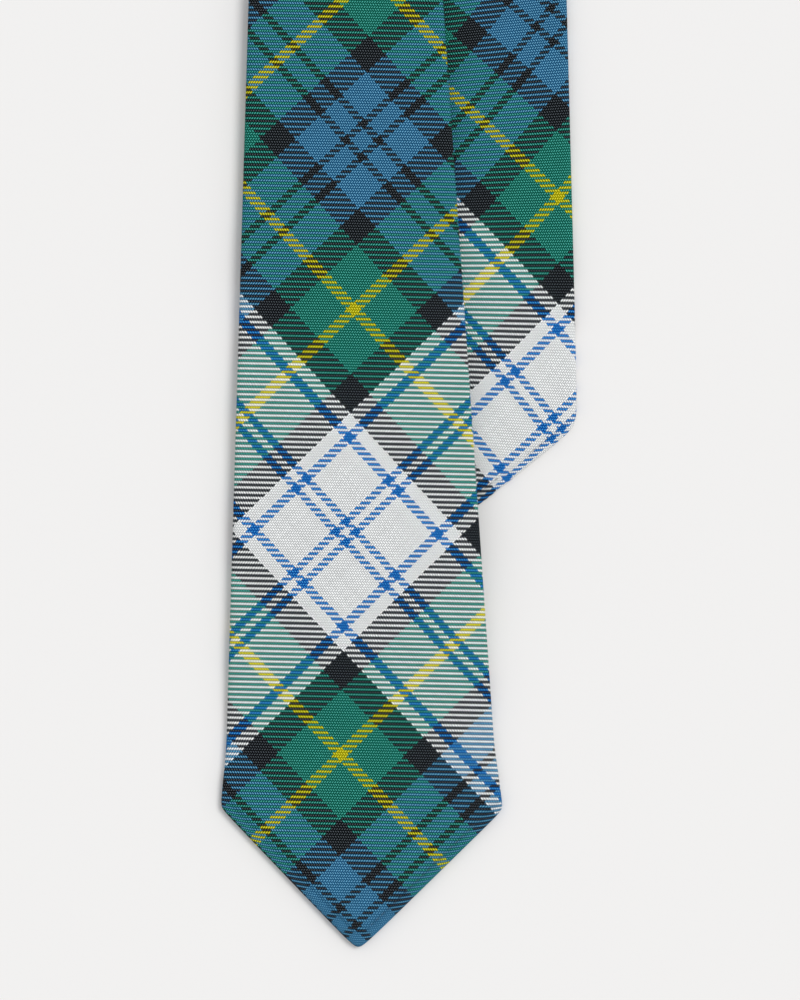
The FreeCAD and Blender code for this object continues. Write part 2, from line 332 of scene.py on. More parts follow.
def thicken(obj, thickness):
    """Gives a sheet its thickness, inwards from the face that shows."""
    solid = obj.modifiers.new("thickness", "SOLIDIFY")
    solid.thickness = thickness * MM
    solid.offset = -1
    apply_modifiers(obj)


def apply_modifiers(obj):
    graph = bpy.context.evaluated_depsgraph_get()
    graph.update()
    final = bpy.data.meshes.new_from_object(obj.evaluated_get(graph), preserve_all_data_layers=True,
                                            depsgraph=graph)
    obj.modifiers.clear()
    obj.data = final


def belongs(obj, body, node):
    """The piece rides on a body and stands for a CAD node, which it hides."""
    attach(obj, body)
    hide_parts(node)
    return obj


def edge_x(depth_at, row_y, side, reach=60.0):
    """Where a row leaves the inside of depth_at, on one side (-1 left, 1 right)."""
    inner = np.zeros_like(row_y(np.zeros(1)) + np.zeros(1))
    outer = inner + side * reach
    for _ in range(44):
        middle = 0.5 * (inner + outer)
        inside = depth_at(middle, row_y(middle)) > 0
        inner, outer = np.where(inside, middle, inner), np.where(inside, outer, middle)
    return inner


NEAR_EDGE = np.array([0, 0.03, 0.12, 0.28, 0.5, 0.8, 1.15, 1.55, 2.0, 2.5, 3.0, 3.5, 4.1])


def columns_between(edge, centre, count):
    """x stations from an edge to the centre: close together on the rounded side, then even."""
    span = np.abs(centre - edge)
    near = NEAR_EDGE[:, None] * np.minimum(1, span / 9.0)[None, :]
    last = near[-1]
    even = last + (span - last) * (np.arange(1, count + 1) / count)[:, None]
    offsets = np.concatenate([near, even])
    return (edge + np.sign(centre - edge) * offsets).T


def row_stations(start, stop, fine_until=0.0, fine=0.9, coarse=2.4):
    """Rows from start to stop, closer together up to fine_until."""
    turn = min(max(fine_until, start), stop)
    low, high = np.array([start]), np.array([stop])
    if turn > start:
        low = np.linspace(start, turn, max(2, int((turn - start) / fine) + 1))
    if stop > turn:
        high = np.linspace(turn, stop, max(2, int((stop - turn) / coarse) + 1))
    return np.unique(np.concatenate([low, high]))


def tip_middle(section):
    """The x of a section's point, which the rows near it are centred on."""
    return section.corners[1][0] if section.corners else 0.0


def front_grid(section, stations, count=16):
    """The face of the tie, with its sides rolled half way round."""
    rows = []
    for t in stations:
        centre = tip_middle(section) * (1 - smooth(0, 12, t))
        at = lambda x, t=t: section.row(t, x)
        left = edge_x(lambda x, y: section.depth(x + centre, y), lambda x: at(x + centre), -1) + centre
        right = edge_x(lambda x, y: section.depth(x + centre, y), lambda x: at(x + centre), 1) + centre
        mid = np.array([centre])
        inward, outward = columns_between(left, mid, count)[0], columns_between(right, mid, count)[0][-2::-1]
        x = np.concatenate([inward, outward])
        rows.append(np.stack([x, at(x)]))
    plan = np.array(rows)
    return plan[:, 0], plan[:, 1]


def face_cloth(section, x, y):
    """Thread numbers on the face: over the rounded side the cloth runs on past the plan."""
    depth = section.depth(x, y)
    gx, gy = slope_of(section.depth, x, y)
    extra = np.where(depth < ROLL, ROLL_LONG - along_roll(depth) - (ROLL - depth), 0)
    tip_x, tip_y = slope_of(section.tip_depth, x, y)
    packed = HEM_PACKED * np.maximum(GROOVE_AT - section.tip_depth(x, y), 0)
    return section.cut(x - gx * extra - tip_x * packed, y - gy * extra - tip_y * packed)


def turned_cloth(section, depth_at, x, y, reach, packed=0.0):
    """Thread numbers on the back: cloth folded over the edge that depth_at is measured from."""
    depth = depth_at(x, y)
    gx, gy = slope_of(depth_at, x, y, reach=reach)
    past = ROLL_LONG - ROLL + along_roll(depth) + packed
    return section.cut(x - gx * (depth + past), y - gy * (depth + past))


def flap_grid(section, stations, side, window=None, count=16):
    """One side of the back, from the rounded edge to the slit. Its first rows lie along a window's edge."""
    rows = []
    first = stations[0]
    for t in stations:
        def at(x, t=t):
            level = section.row(t, x)
            if window is None:
                return level
            apex, drop, settle = window
            share = smooth(first, first + settle, t)
            slanted = apex + (t - first) - drop * np.abs(x)
            return slanted * (1 - share) + level * share
        edge = edge_x(section.depth, at, side)
        x = columns_between(edge, np.array([side * SLIT]), count)[0]
        rows.append(np.stack([x, at(x)]))
    plan = np.array(rows)
    return plan[:, 0], plan[:, 1]


def flap_height(section, x, y):
    """The flaps turn in a little where they meet."""
    tuck = 0.45 * np.exp(-((np.abs(x) - SLIT) / 0.5) ** 2)
    return back_height(section, x, y) + tuck


def cloth_shell(name, section, start, stop, body, node, window=None, fine_until=0.0):
    """A whole cut of the tie's cloth: face, two flaps and, at a point, the hem turned to the back."""
    stations = row_stations(start, stop, fine_until)
    x, y = front_grid(section, stations)
    grids = [(section.place(x, y, front_height(section, x, y)), face_cloth(section, x, y), False)]
    flap_start = window[0] if window else start
    flap_rows = row_stations(flap_start, stop)
    for side in (-1, 1):
        x, y = flap_grid(section, flap_rows, side, window)
        numbers = turned_cloth(section, section.side_depth, x, y, SIDE_BEND)
        grids.append((section.place(x, y, flap_height(section, x, y)), numbers, side < 0))
    if window:
        grids.append(hem_grid(section))
    return belongs(mesh_object(name, grids, materials["tartan_wool"], CLOTH), body, node)


def hem_grid(section):
    """The strip of cloth turned to the back along both edges of a point."""
    left, tip, right = section.corners
    top = max(left[1], right[1]) + 3.0
    reach = section.half(top) - 0.5
    x = np.linspace(-reach, reach, 150)
    depths = np.array([0, 0.03, 0.12, 0.28, 0.5, 0.8, 1.15, 1.55, 2.0, 3.0, HEM])
    rows = []
    for wanted in depths:
        low, high = np.full_like(x, -3.0), np.full_like(x, top + 0.1 * wanted)
        for _ in range(44):
            middle = 0.5 * (low + high)
            inside = section.depth(x, middle) > wanted
            low, high = np.where(inside, low, middle), np.where(inside, middle, high)
        rows.append(np.stack([x, high]))
    plan = np.array(rows)
    x, y = plan[:, 0], plan[:, 1]
    height = back_height(section, x, y) + 0.35 * rise(section.depth(x, y))
    numbers = turned_cloth(section, section.tip_depth, x, y, 0.05, HEM_PACKED * GROOVE_AT)
    return section.place(x, y, height), numbers, True


def inner_layer(name, section, start, stop, insets, heights, slot, body, node, count=9):
    """A flat layer inside a section, such as canvas or lining, between two heights. insets are its distances
    from the sides and from the edges of the point."""
    at_side, at_tip = insets
    rows = []
    for t in np.linspace(start, stop, max(8, int((stop - start) / 5))):
        room = lambda x, y: np.minimum(section.side_depth(x, y) - at_side, section.tip_depth(x, y) - at_tip)
        ends = [edge_x(room, lambda x, t=t: section.row(t, x), side)[0] for side in (-1, 1)]
        x = np.linspace(*ends, 2 * count)
        rows.append(np.stack([x, section.row(t, x)]))
    plan = np.array(rows)
    x, y = plan[:, 0], plan[:, 1]
    low, high = heights
    obj = mesh_object(name, [(section.place(x, y, high), None, False)], materials[slot], high - low)
    return belongs(obj, body, node)


def thread_grid(path, radius, sides=7):
    """A round thread along a path of points, closed to a point at both ends."""
    path = np.asarray(path, float)
    ahead = np.gradient(path, axis=0)
    ahead /= np.linalg.norm(ahead, axis=1)[:, None]
    beside = np.cross(ahead, [0, 0, 1.0])
    beside /= np.maximum(np.linalg.norm(beside, axis=1), 1e-6)[:, None]
    above = np.cross(beside, ahead)
    taper = np.full(len(path), radius)
    taper[[0, -1]] = radius * 0.05
    turn = np.linspace(0, 2 * math.pi, sides + 1)
    ring = np.cos(turn)[None, :, None] * beside[:, None, :] + np.sin(turn)[None, :, None] * above[:, None, :]
    return path[:, None, :] + ring * taper[:, None, None]


def thread_object(name, paths, radius, body, node):
    grids = [(thread_grid(path, radius), None, True) for path in paths]
    return belongs(mesh_object(name, grids, materials["thread"]), body, node)


def stitch(section, start, stop, height, deep):
    """One stitch that comes up out of the cloth, lies on it and goes down. height is a function of x, y."""
    share = np.array([0, 0.06, 0.16, 0.35, 0.65, 0.84, 0.94, 1.0])
    sink = np.array([1.0, 0.5, 0.08, 0, 0, 0.08, 0.5, 1.0])
    x = start[0] + (stop[0] - start[0]) * share
    y = start[1] + (stop[1] - start[1]) * share
    return section.place(x, y, height(x, y) + deep * sink)


def stitches_between(section, start, stop, pitch, long, height, deep):
    """Stitches end to end on a straight line."""
    span = math.hypot(stop[0] - start[0], stop[1] - start[1])
    unit = np.array([stop[0] - start[0], stop[1] - start[1]]) / span
    count = int(span / pitch)
    lead = (span - (count - 1) * pitch - long) / 2
    begins = [np.array(start) + unit * (lead + i * pitch) for i in range(count)]
    return [stitch(section, a, a + unit * long, height, deep) for a in begins]


# ---------------------------------------------------------------- materials

class Graph:
    """Builds one node material."""

    def __init__(self, name):
        self.material = bpy.data.materials.new(name)
        self.material.use_nodes = True
        self.nodes = self.material.node_tree.nodes
        self.links = self.material.node_tree.links
        self.shader = self.nodes["Principled BSDF"]

    def put(self, value, socket):
        if isinstance(value, bpy.types.NodeSocket):
            self.links.new(value, socket)
        else:
            socket.default_value = value

    def math(self, operation, *values):
        node = self.nodes.new("ShaderNodeMath")
        node.operation = operation
        for value, socket in zip(values, node.inputs):
            self.put(value, socket)
        return node.outputs[0]

    def mix(self, share, low, high):
        """low where share is 0 and high where it is 1, for numbers."""
        return self.math("ADD", low, self.math("MULTIPLY", share, self.math("SUBTRACT", high, low)))

    def blend_colour(self, share, low, high, kind="MIX"):
        node = self.nodes.new("ShaderNodeMix")
        node.data_type = "RGBA"
        node.blend_type = kind
        self.put(share, node.inputs[0])
        self.put(low, node.inputs[6])
        self.put(high, node.inputs[7])
        return node.outputs[2]

    def noise(self, vector, scale, detail=2.0):
        node = self.nodes.new("ShaderNodeTexNoise")
        node.inputs["Scale"].default_value = scale
        node.inputs["Detail"].default_value = detail
        self.links.new(vector, node.inputs["Vector"])
        return node.outputs["Fac"]

    def combine(self, x, y, z=0.0):
        node = self.nodes.new("ShaderNodeCombineXYZ")
        for value, socket in zip((x, y, z), node.inputs):
            self.put(value, socket)
        return node.outputs[0]

    def split(self, vector):
        node = self.nodes.new("ShaderNodeSeparateXYZ")
        self.links.new(vector, node.inputs[0])
        return node.outputs[:3]

    def uv(self):
        node = self.nodes.new("ShaderNodeUVMap")
        node.uv_map = "threads"
        return node.outputs[0]

    def place(self):
        return self.nodes.new("ShaderNodeTexCoord").outputs["Object"]

    def ramp(self, factor, stops, kind="LINEAR"):
        node = self.nodes.new("ShaderNodeValToRGB")
        ramp = node.color_ramp
        ramp.interpolation = kind
        while len(ramp.elements) < len(stops):
            ramp.elements.new(0.5)
        for element, (position, colour) in zip(ramp.elements, stops):
            element.position = position
            element.color = (*colour, 1)
        self.links.new(factor, node.inputs[0])
        return node.outputs[0]

    def bump(self, height, strength, distance):
        node = self.nodes.new("ShaderNodeBump")
        node.inputs["Strength"].default_value = strength
        node.inputs["Distance"].default_value = distance
        self.links.new(height, node.inputs["Height"])
        self.links.new(node.outputs[0], self.shader.inputs["Normal"])

    def finish(self, colour, roughness, **sockets):
        self.put(colour, self.shader.inputs["Base Color"])
        self.put(roughness, self.shader.inputs["Roughness"])
        for name, value in sockets.items():
            self.put(value, self.shader.inputs[name.replace("_", " ")])
        return self.material


def yarns(g, u, v, run, over):
    """The weave at thread numbers u, v: the number of the thread that shows and of the one under it, whether
    it is a warp thread, and how high its surface is. A run of threads repeats, and over of them pass over."""
    iu, iv = g.math("FLOOR", u), g.math("FLOOR", v)
    fu, fv = g.math("SUBTRACT", u, iu), g.math("SUBTRACT", v, iv)
    step = g.math("FLOORED_MODULO", g.math("ADD", iu, iv), float(run))
    warp = g.math("LESS_THAN", step, over - 0.5)
    index, under = g.mix(warp, iv, iu), g.mix(warp, iu, iv)
    across = g.mix(warp, fv, fu)
    on_warp = g.math("DIVIDE", g.math("ADD", step, fv), float(over))
    on_weft = g.math("DIVIDE", g.math("ADD", g.math("SUBTRACT", step, float(over)), fu), float(run - over))
    along = g.mix(warp, on_weft, on_warp)
    off_middle = g.math("ABSOLUTE", g.math("MULTIPLY_ADD", across, 2.0, -1.0))
    side = g.math("SUBTRACT", 1.0, g.math("POWER", off_middle, 1.9))
    crest = g.math("SINE", g.math("MULTIPLY", along, math.pi))
    height = g.math("MULTIPLY", side, g.math("MULTIPLY_ADD", crest, 0.85, 0.15))
    return index, under, warp, height


# The dyes were solved from the stripe colours of a photograph, and white and black then changed.
WHITE, BRIGHT, BLACK = (0.945, 0.955, 0.952), (0.017, 0.228, 0.641), (0.024, 0.030, 0.036)
GREEN, YELLOW, BLUE = (0.024, 0.282, 0.219), (0.648, 0.607, 0.009), (0.070, 0.272, 0.457)
HALF_SETT = ((WHITE, 1.5), (BRIGHT, 4), (WHITE, 28), (BRIGHT, 5), (WHITE, 7), (BLACK, 15), (GREEN, 22),
             (YELLOW, 6), (GREEN, 22), (BLACK, 14), (BLUE, 18), (BLACK, 4), (BLUE, 5))
SETT_LONG = 2 * sum(count for _, count in HALF_SETT)


def sett_stops():
    """Where each colour of the sett begins, from the middle of the white to the middle of the blue."""
    stops, at = [], 0.0
    for colour, count in HALF_SETT:
        stops.append((at / SETT_LONG * 2, colour))
        at += count
    return stops


def dye(g, index):
    """The colour of a thread by its number: the sett, mirrored about both its middles."""
    folded = g.math("FLOORED_MODULO", g.math("ADD", index, 0.5 + SETT_LONG / 2), SETT_LONG)
    share = g.math("DIVIDE", g.math("ABSOLUTE", g.math("SUBTRACT", folded, SETT_LONG / 2)), SETT_LONG / 2)
    return g.ramp(share, sett_stops(), "CONSTANT")


def tartan_wool():
    g = Graph("tartan_wool")
    uv = g.uv()
    wander = g.math("MULTIPLY_ADD", g.noise(uv, 0.09), 1.1, -0.55)
    u, v, _ = g.split(uv)
    u, v = g.math("ADD", u, wander), g.math("SUBTRACT", v, wander)
    index, under, warp, height = yarns(g, u, v, 4, 2)
    dyed, dyed_under = dye(g, index), dye(g, under)
    fibre = g.noise(g.combine(g.math("MULTIPLY", u, 2.2), g.math("MULTIPLY", v, 2.2)), 2.0, 3.0)
    slub = g.noise(g.combine(g.math("MULTIPLY", index, 7.3), g.math("MULTIPLY", warp, 91.0), 0.5), 1.0, 0.0)
    # painted shade: the gamma grows where a yarn's surface sinks, so the dye is darker in the gaps
    deep = g.math("MULTIPLY_ADD", height, -1.3, 1.9)
    gap_shaded_dye = g.nodes.new("ShaderNodeGamma")  # painted shade: light that bounces between yarns deepens their colour in the gaps
    g.put(dyed, gap_shaded_dye.inputs["Color"])
    g.put(deep, gap_shaded_dye.inputs["Gamma"])
    # painted shade: each yarn is lighter on its crest and darker at its sides and float ends; the fibre and
    # slub noise then vary its own tone
    shade = g.math("MULTIPLY_ADD", height, 0.8, 0.42)
    shade = g.math("MULTIPLY", shade, g.math("MULTIPLY_ADD", fibre, 0.5, 0.75))
    shade = g.math("MULTIPLY", shade, g.math("MULTIPLY_ADD", slub, 0.28, 0.86))
    colour = g.blend_colour(1.0, gap_shaded_dye.outputs[0], g.combine(shade, shade, shade), "MULTIPLY")
    # painted shade: the low parts of each yarn take on the colour of the thread beneath, as light bounced off
    # it would tint them
    lit_by = g.blend_colour(g.math("MULTIPLY_ADD", height, -0.35, 0.35), (1, 1, 1, 1), dyed_under)
    colour = g.blend_colour(1.0, colour, lit_by, "MULTIPLY")
    # painted highlight: a pale glint on the crest of each yarn
    crest_highlight = g.math("MULTIPLY", g.math("POWER", height, 5.0), 0.03)
    colour = g.blend_colour(crest_highlight, colour, (0.86, 0.93, 0.93, 1))
    relief = g.math("ADD", height, g.math("MULTIPLY", fibre, 0.18))
    g.bump(relief, 0.8, 0.00022)
    return g.finish(colour, 0.9, Specular_IOR_Level=0.02)


def plain_weave(name, light, dark, pitch, run, over, roughness, turned=0.7854, **sockets):
    """A one-colour woven cloth, drawn over the row's X and Y at a pitch in mm."""
    g = Graph(name)
    x, y, _ = g.split(g.place())
    scale = 1 / (pitch * MM)
    c, s = math.cos(turned) * scale, math.sin(turned) * scale
    u = g.math("ADD", g.math("MULTIPLY", x, c), g.math("MULTIPLY", y, s))
    v = g.math("SUBTRACT", g.math("MULTIPLY", y, c), g.math("MULTIPLY", x, s))
    index, _, warp, height = yarns(g, u, v, run, over)
    slub = g.noise(g.combine(g.math("MULTIPLY", index, 5.1), g.math("MULTIPLY", warp, 70.0)), 1.0, 0.0)
    # the colour runs from dark to light with each yarn's slub, its own tone, and with its height, painted
    # shade that makes the crest lighter
    share = g.math("MULTIPLY_ADD", slub, 0.5, g.math("MULTIPLY", height, 0.6))
    colour = g.blend_colour(share, (*dark, 1), (*light, 1))
    g.bump(height, 0.6, pitch * MM * 0.3)
    return g.finish(colour, roughness, **sockets)


def sewing_thread():
    """Dark two-ply thread: fine slanting plies that catch the light."""
    g = Graph("thread")
    x, y, z = g.split(g.place())
    slanting = g.math("ADD", g.math("ADD", x, y), g.math("MULTIPLY", z, 2.0))
    ply = g.math("SINE", g.math("MULTIPLY", slanting, 9000.0))
    share = g.math("MULTIPLY_ADD", ply, 0.35, 0.5)
    colour = g.blend_colour(share, (0.008, 0.012, 0.022, 1), (0.05, 0.075, 0.11, 1))
    g.bump(ply, 0.5, 0.00005)
    return g.finish(colour, 0.55, Sheen_Weight=0.2)


materials = {
    "tartan_wool": tartan_wool(),
    "canvas": plain_weave("canvas", (0.80, 0.75, 0.62), (0.42, 0.37, 0.27), 0.9, 2, 1, 0.9),
    "lining": plain_weave("lining", (0.030, 0.045, 0.085), (0.010, 0.015, 0.032), 0.22, 3, 2, 0.38,
                          Sheen_Weight=0.3, Coat_Weight=0.08),
    "thread": sewing_thread(),
    "label": plain_weave("label", (0.060, 0.085, 0.14), (0.018, 0.026, 0.050), 0.3, 2, 1, 0.5, 0.0,
                         Sheen_Weight=0.2),
}


# ---------------------------------------------------------------- the pieces

BLADE_WINDOW = (78.9, 1.24, 60.0)  # where the flaps meet, how fast their edges drop to the sides, and settle
TAIL_WINDOW = (54.0, 1.37, 50.0)
BLADE_FOLD = FOLD_1[1]

blade_cloth = cloth_shell("blade_cloth", blade, 0.04, BLADE_SEAM, "blade", "blade_shell", BLADE_WINDOW, 62.0)
gusset_blade = cloth_shell("gusset_cloth_blade_side", blade_gusset, BLADE_SEAM, BLADE_FOLD, "blade",
                           "gusset_blade_side")
gusset_neck = cloth_shell("gusset_cloth_middle", neck, 0.0, NECK_SPAN, "neck", "gusset_middle")
gusset_tail = cloth_shell("gusset_cloth_tail_side", tail_gusset, TAIL_SEAM, TAIL_LONG, "tail",
                          "gusset_tail_side")
tail_cloth = cloth_shell("tail_cloth", tail, 0.04, TAIL_SEAM, "tail", "tail_shell", TAIL_WINDOW, 45.0)

LINING_H, CANVAS_H = (0.95, 1.15), (1.2, 2.0)  # bottom and top of each layer
CANVAS_IN, LINING_IN = (1.3, 4.8), (1.0, 2.2)  # from the sides, and from the edges of a point
canvas = [
    inner_layer("blade_canvas", blade, 7.5, BLADE_FOLD - GAP, CANVAS_IN, CANVAS_H, "canvas", "blade",
                "blade_interlining"),
    inner_layer("neck_canvas", neck, GAP, NECK_SPAN - GAP, CANVAS_IN, CANVAS_H, "canvas", "neck",
                "neck_interlining"),
    inner_layer("tail_canvas", tail, 7.5, TAIL_LONG - GAP, CANVAS_IN, CANVAS_H, "canvas", "tail",
                "tail_interlining"),
]
blade_lining = inner_layer("blade_lining", blade, 4.0, 109.0, LINING_IN, LINING_H, "lining", "blade",
                           "blade_tipping", 20)
tail_lining = inner_layer("tail_lining", tail, 4.0, 84.0, LINING_IN, LINING_H, "lining", "tail",
                          "tail_tipping", 16)


# ---------------------------------------------------------------- the folds

def fold_row(section, t):
    """The x and y of a section's row t, for x across the neck."""
    return lambda x: (x, section.row(t, x))


def mirrored(row):
    return lambda x: row(-x)


def fold_sheets(upper, lower, outward, faces):
    """Cloth round a fold, half a turn from the upper section's last row to the lower one's first. faces says
    whether this is the face of the tie, and otherwise it is the two flaps."""
    turn = np.linspace(0, math.pi, 19)[:, None]
    grids = []
    for side in (0,) if faces else (-1, 1):
        edge, slit = np.array([-NECK_HALF]), np.array([side * SLIT])
        if side:
            edge = np.array([side * NECK_HALF])
        x = columns_between(edge, slit, 12)[0]
        x = x if side else np.concatenate([x, -x[-2::-1]])
        ends = []
        for section, row in (upper, lower):
            at_x, at_y = row(x)
            if faces:
                height, numbers = front_height(section, at_x, at_y), face_cloth(section, at_x, at_y)
            else:
                height = flap_height(section, at_x, at_y)
                numbers = turned_cloth(section, section.side_depth, at_x, at_y, SIDE_BEND)
            ends.append((section.place(at_x, at_y, height), numbers))
        (high, high_numbers), (low, low_numbers) = ends
        radius = ((high - low)[:, 2] / 2)[None, :, None]
        level, upright = np.array([*outward, 0.0]), np.array([0, 0, 1.0])
        arc = np.sin(turn)[..., None] * level + np.cos(turn)[..., None] * upright
        share = (turn / math.pi)[..., None]
        numbers = high_numbers * (1 - share) + low_numbers * share
        grids.append(((high + low) / 2 + radius * arc, numbers, side < 0))
    return grids


def fold_cloth(name, grids):
    """One sheet of a fold, with its transform baked into its mesh."""
    obj = mesh_object(name, grids, materials["tartan_wool"], CLOTH)
    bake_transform(obj)
    return obj


FOLD_1_ROWS = (blade_gusset, fold_row(blade_gusset, BLADE_FOLD)), (neck, fold_row(neck, 0.0))
FOLD_1_OUT = np.array([-1.0, 1.0]) / math.sqrt(2)
FOLD_2_ROWS = (neck, fold_row(neck, NECK_SPAN)), (tail_gusset, mirrored(fold_row(tail_gusset, TAIL_LONG)))
FOLD_2_OUT = np.array([math.cos(FOLD_2_TURN), math.sin(FOLD_2_TURN)])

blade_bend = [
    fold_cloth("blade_fold_outer", fold_sheets(*FOLD_1_ROWS, FOLD_1_OUT, True)),
    fold_cloth("blade_fold_inner", fold_sheets(*FOLD_1_ROWS, FOLD_1_OUT, False)),
]
neck_bend = [
    fold_cloth("neck_fold_outer", fold_sheets(*FOLD_2_ROWS, FOLD_2_OUT, False)),
    fold_cloth("neck_fold_inner", fold_sheets(*FOLD_2_ROWS, FOLD_2_OUT, True)),
]


# ---------------------------------------------------------------- stitches

def groove_stitches(section):
    """The row sewn in the groove inside both edges of a point."""
    middle = tip_middle(section)
    reach = section.half(40.0) - 5.0
    paths = []
    for side in (-1, 1):
        x = np.linspace(middle + side * 1.2, side * reach, 160)
        low, high = np.full_like(x, -3.0), np.full_like(x, 60.0)
        for _ in range(40):
            level = 0.5 * (low + high)
            inside = section.tip_depth(x, level) > GROOVE_AT
            low, high = np.where(inside, low, level), np.where(inside, level, high)
        run = np.concatenate([[0], np.cumsum(np.hypot(np.diff(x), np.diff(high)))])
        for start in np.arange(0.3, run[-1] - 2.0, 2.3):
            ends = [(np.interp(v, run, x), np.interp(v, run, high)) for v in (start, start + 1.9)]
            height = lambda x, y: front_height(section, x, y) + 0.02
            paths.append(stitch(section, *ends, height, -0.5))
    return paths


def slip_paths(section, start, stop):
    """Long stitches that cross the slit on the back, one after another."""
    height = lambda x, y: np.full(np.shape(x), 0.24)
    begins = np.arange(start, stop - 7.0, 12.0)
    return [stitch(section, (-0.55, a), (0.55, a + 7.0), height, 0.8) for a in begins]


def tack_paths(section, apex):
    """A bar tack: a few long threads across the slit, wrapped by short ones."""
    long_height = lambda x, y: np.full(np.shape(x), 0.34)
    wrap_height = lambda x, y: np.full(np.shape(x), 0.2)
    low, high = apex + 1.0, apex + 2.6
    threads_y = np.linspace(low + 0.35, high - 0.35, 3)
    paths = [stitch(section, (-4.0, y), (4.0, y), long_height, 0.7) for y in threads_y]
    for x in np.linspace(-3.8, 3.8, 19):
        paths.append(stitch(section, (x - 0.12, low), (x + 0.12, high), wrap_height, 0.6))
    return paths


def seam_paths(section, at):
    """The row inside a seam between two cuts."""
    reach = NECK_HALF - 2
    height = lambda x, y: np.full(np.shape(x), 2.12)
    return stitches_between(section, (-reach, at - reach), (reach, at + reach), 3.0, 2.1, height, -0.1)


for which, section, seam, fold_at in (("blade", blade, BLADE_SEAM, BLADE_FOLD),
                                      ("tail", tail, TAIL_SEAM, TAIL_LONG)):
    apex = (BLADE_WINDOW if which == "blade" else TAIL_WINDOW)[0]
    thread_object(which + "_groove_thread", groove_stitches(section), 0.13, which, which + "_edge_stitches")
    thread_object(which + "_tack_thread", tack_paths(section, apex), 0.15, which, which + "_bar_tack")
    thread_object(which + "_slip_thread", slip_paths(section, apex + 6, fold_at - 20), 0.18, which,
                  which + "_slip_stitches")
    thread_object(which + "_seam_thread", seam_paths(section, seam), 0.11, which, which + "_seam_stitches")
thread_object("neck_slip_thread", slip_paths(neck, 4.0, NECK_SPAN - 2), 0.18, "neck", "neck_slip_stitches")


# ---------------------------------------------------------------- the blade's back: keeper and blank label

KEEPER_Y, KEEPER_TALL, KEEPER_HALF = 165.0, 14.0, 33.0
LABEL_Y, LABEL_HALF = 206.0, (27.0, 15.0)


def on_back(name, x, h, y_low, y_high, material_slot, thickness, node, count=12):
    """A strip on the blade's back: x and h run along it, and it reaches from y_low to y_high."""
    y = np.linspace(y_low, y_high, count)
    xs, ys = np.broadcast_to(x[:, None], (len(x), count)), np.broadcast_to(y, (len(x), count))
    hs = np.broadcast_to(h[:, None], xs.shape)
    grids = [(blade.place(xs, ys, hs), strip_threads(xs, ys), False)]
    obj = mesh_object(name, grids, materials[material_slot], thickness)
    return belongs(obj, "blade", node)


def strip_threads(x, y):
    """The keeper and the ends of it are cut on the bias, like the tie."""
    return threads(GUSSET_CUT, x + 21.0, y)


def joined(name, objects):
    """Several pieces of one CAD node, as one object."""
    first = objects[0]
    with bpy.context.temp_override(active_object=first, selected_editable_objects=objects):
        bpy.ops.object.join()
    first.name = name
    return first


keeper_x = np.linspace(-KEEPER_HALF, KEEPER_HALF, 67)
bow = 0.22 * (1 - smooth(20, KEEPER_HALF, np.abs(keeper_x)))
keeper = on_back("keeper_band", keeper_x, -1.12 - bow, KEEPER_Y - KEEPER_TALL / 2, KEEPER_Y + KEEPER_TALL / 2,
                 "tartan_wool", 0.5, "keeper_loop")
keeper_feet = []
for side in (-1, 1):
    bend = np.linspace(-math.pi / 2, math.pi / 2, 13)
    x = np.concatenate([KEEPER_HALF - 0.45 + 0.5 * np.cos(bend), [KEEPER_HALF - 1.2, KEEPER_HALF - 1.9]])
    h = np.concatenate([-0.66 + 0.5 * np.sin(bend), [-0.13, -0.13]])
    order = slice(None) if side > 0 else slice(None, None, -1)
    keeper_feet.append(on_back("keeper_foot", side * x[order], h[order], KEEPER_Y - KEEPER_TALL / 2 + 0.15,
                               KEEPER_Y + KEEPER_TALL / 2 - 0.15, "tartan_wool", 0.35, "keeper_loop_ends"))
keeper_ends = joined("keeper_turned_ends", keeper_feet)

label_x = np.linspace(-LABEL_HALF[0], LABEL_HALF[0], 55)
label_edge = 0.1 * smooth(LABEL_HALF[0] - 1.5, LABEL_HALF[0], np.abs(label_x))
label = on_back("blank_label", label_x, -0.3 + label_edge, LABEL_Y - LABEL_HALF[1], LABEL_Y + LABEL_HALF[1],
                "label", 0.2, "back_label", 24)


def end_stitches(x, low, high, h):
    """Rows of stitches along both short ends of a strip on the blade's back."""
    height = lambda a, b: np.full(np.shape(a), h)
    paths = []
    for side in (-1, 1):
        paths += stitches_between(blade, (side * x, low), (side * x, high), 3.0, 2.1, height, 0.3)
    return paths


thread_object("keeper_thread", end_stitches(KEEPER_HALF - 0.9, KEEPER_Y - 6, KEEPER_Y + 6, -1.28), 0.18,
              "blade", "keeper_loop_stitches")
thread_object("label_thread", end_stitches(LABEL_HALF[0] - 1.2, LABEL_Y - 14, LABEL_Y + 14, -0.36), 0.14,
              "blade", "back_label_stitches")


# ---------------------------------------------------------------- what was cut flat

def width_at(section, y):
    level = lambda x: np.full_like(x, y)
    left, right = (edge_x(section.depth, level, side)[0] for side in (-1, 1))
    return right - left


def cloth_area(section, start, stop, window=None):
    """Flat area of a cut in mm2: its face, the cloth over the rounded sides, the flaps and a point's hem."""
    y = np.linspace(start, stop, 300)
    face = np.array([width_at(section, v) for v in y])
    flaps = face - 2 * SLIT
    hem = 0.0
    if window:
        apex, drop, _ = window
        flaps = np.maximum(flaps - 2 * np.maximum(apex - y, 0) / drop, 0)
        hem = HEM * 2 * math.hypot(section.corners[2][0], section.corners[2][1])
    return float((face + flaps + 4 * (ROLL_LONG - ROLL)).mean() * (stop - start) + hem)


def layer_area(section, start, stop, inset):
    """Flat area in mm2 of a layer inside a section."""
    widths = [width_at(section, v) - 2 * inset for v in np.linspace(start, stop, 300)]
    return float(np.mean(widths) * (stop - start))


